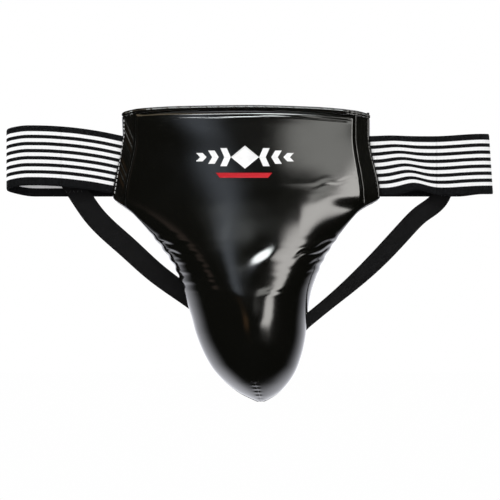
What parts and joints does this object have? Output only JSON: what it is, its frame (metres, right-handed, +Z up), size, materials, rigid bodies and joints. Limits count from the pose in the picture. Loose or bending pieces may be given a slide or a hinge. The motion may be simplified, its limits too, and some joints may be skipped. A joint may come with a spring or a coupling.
{
  "type": "groin protector",
  "caption": "Padded groin guard with a bulging cup below a broad belly panel, a wide striped elastic waistband laid flat as a loop, and narrow elastic leg straps",
  "frame": {"origin": "centre of the flattened waist loop: midway between its two turns, midway between the front and rear layers, at half the height of the band", "axes": "+X toward the wearer's left side of the scene (viewer's right when the front is seen), +Y toward the wearer's back, +Z up"},
  "size_m": [0.4865, 0.0758, 0.2945],
  "materials": {
    "glossy_black_skin": "glossy synthetic leather",
    "foam": "closed-cell foam",
    "hard_cup": "moulded plastic",
    "black_cloth": "woven lining",
    "striped_elastic": "ribbed elastic, white lines on black",
    "black_elastic": "matte narrow elastic",
    "white_print": "printed film",
    "red_print": "printed film",
    "black_thread": "sewing thread",
    "black_hook_loop": "hook and loop tape"
  },
  "bodies": {
    "guard": {"front_cover": "glossy_black_skin", "belly_foam": "foam", "cup_foam": "foam", "cup_shell": "hard_cup", "cup_lining": "black_cloth", "cup_rim_pad": "black_cloth", "rear_lining": "black_cloth", "top_binding": "glossy_black_skin", "ornament_white": "white_print", "ornament_red": "red_print", "left_seam_stitches": "black_thread", "right_seam_stitches": "black_thread", "tip_stitches": "black_thread", "leg_anchor": "black_elastic", "anchor_stitches": "black_thread", "band_left_tab": "striped_elastic", "band_right_tab": "striped_elastic"},
    "left_side": {"band_left_side": "striped_elastic"},
    "left_rear": {"band_left_rear": "striped_elastic", "band_left_fold": "striped_elastic"},
    "left_end": {"band_left_end": "striped_elastic"},
    "closure": {"closure_tab": "striped_elastic", "hook_patch": "black_hook_loop", "tab_stitches": "black_thread"},
    "right_side": {"band_right_side": "striped_elastic"},
    "right_rear": {"band_right_rear": "striped_elastic", "band_right_fold": "striped_elastic"},
    "right_end": {"band_right_end": "striped_elastic", "loop_patch": "black_hook_loop"},
    "left_leg": {"left_leg_strap": "black_elastic"},
    "right_leg": {"right_leg_strap": "black_elastic"},
    "left_leg_head": {"left_leg_strap_top": "black_elastic", "left_strap_tack": "black_thread"},
    "right_leg_head": {"right_leg_strap_top": "black_elastic", "right_strap_tack": "black_thread"}
  },
  "joints": [
    {"name": "left_side_swing", "type": "hinge", "parent": "guard", "child": "left_side", "pos_m": [-0.136, -0.0074, 0], "axis": [0, 0, -1], "range_deg": [0, 45]},
    {"name": "left_fold_open", "type": "hinge", "parent": "left_side", "child": "left_rear", "pos_m": [-0.2312, -0.0007, 0], "axis": [0, 0, 1], "range_deg": [0, 79.07], "deforming": ["band_left_fold"]},
    {"name": "left_end_turn", "type": "hinge", "parent": "left_rear", "child": "left_end", "pos_m": [-0.062, 0.006, 0], "axis": [0, 0, -1], "range_deg": [0, 34.07]},
    {"name": "closure_peel", "type": "hinge", "parent": "left_end", "child": "closure", "pos_m": [-0.043, 0.0114, 0], "axis": [0, 0, 1], "range_deg": [0, 100]},
    {"name": "right_side_swing", "type": "hinge", "parent": "guard", "child": "right_side", "pos_m": [0.137, -0.0074, 0], "axis": [0, 0, 1], "range_deg": [0, 41.94]},
    {"name": "right_fold_open", "type": "hinge", "parent": "right_side", "child": "right_rear", "pos_m": [0.2387, -0.0007, 0], "axis": [0, 0, -1], "range_deg": [0, 73.94], "deforming": ["band_right_fold"]},
    {"name": "right_end_turn", "type": "hinge", "parent": "right_rear", "child": "right_end", "pos_m": [0.062, 0.006, 0], "axis": [0, 0, 1], "range_deg": [0, 32.1]},
    {"name": "left_leg_swing", "type": "hinge", "parent": "guard", "child": "left_leg", "pos_m": [0.0093, -0.0025, -0.175], "axis": [0, 0, -1], "range_deg": [0, 31.8]},
    {"name": "left_leg_head_turn", "type": "hinge", "parent": "left_leg", "child": "left_leg_head", "pos_m": [-0.17716, -0.00334, -0.0305], "axis": [0, 0, 1], "range_deg": [0, 65.8]},
    {"name": "right_leg_swing", "type": "hinge", "parent": "guard", "child": "right_leg", "pos_m": [0.0207, -0.0025, -0.183], "axis": [0, 0, 1], "range_deg": [0, 31.9]},
    {"name": "right_leg_head_turn", "type": "hinge", "parent": "right_leg", "child": "right_leg_head", "pos_m": [0.19431, -0.00215, -0.0305], "axis": [0, 0, -1], "range_deg": [0, 63.9]}
  ],
  "couplings": [
    {"joint": "left_fold_open", "follows": "left_side_swing", "ratio": 1.7549},
    {"joint": "left_end_turn", "follows": "left_side_swing", "ratio": 0.75489},
    {"joint": "right_side_swing", "follows": "left_side_swing", "ratio": 0.92979},
    {"joint": "right_fold_open", "follows": "left_side_swing", "ratio": 1.6409},
    {"joint": "right_end_turn", "follows": "left_side_swing", "ratio": 0.71114},
    {"joint": "left_leg_swing", "follows": "left_side_swing", "ratio": 0.70369},
    {"joint": "left_leg_head_turn", "follows": "left_side_swing", "ratio": 1.4586},
    {"joint": "right_leg_swing", "follows": "left_side_swing", "ratio": 0.70565},
    {"joint": "right_leg_head_turn", "follows": "left_side_swing", "ratio": 1.4168}
  ]
}
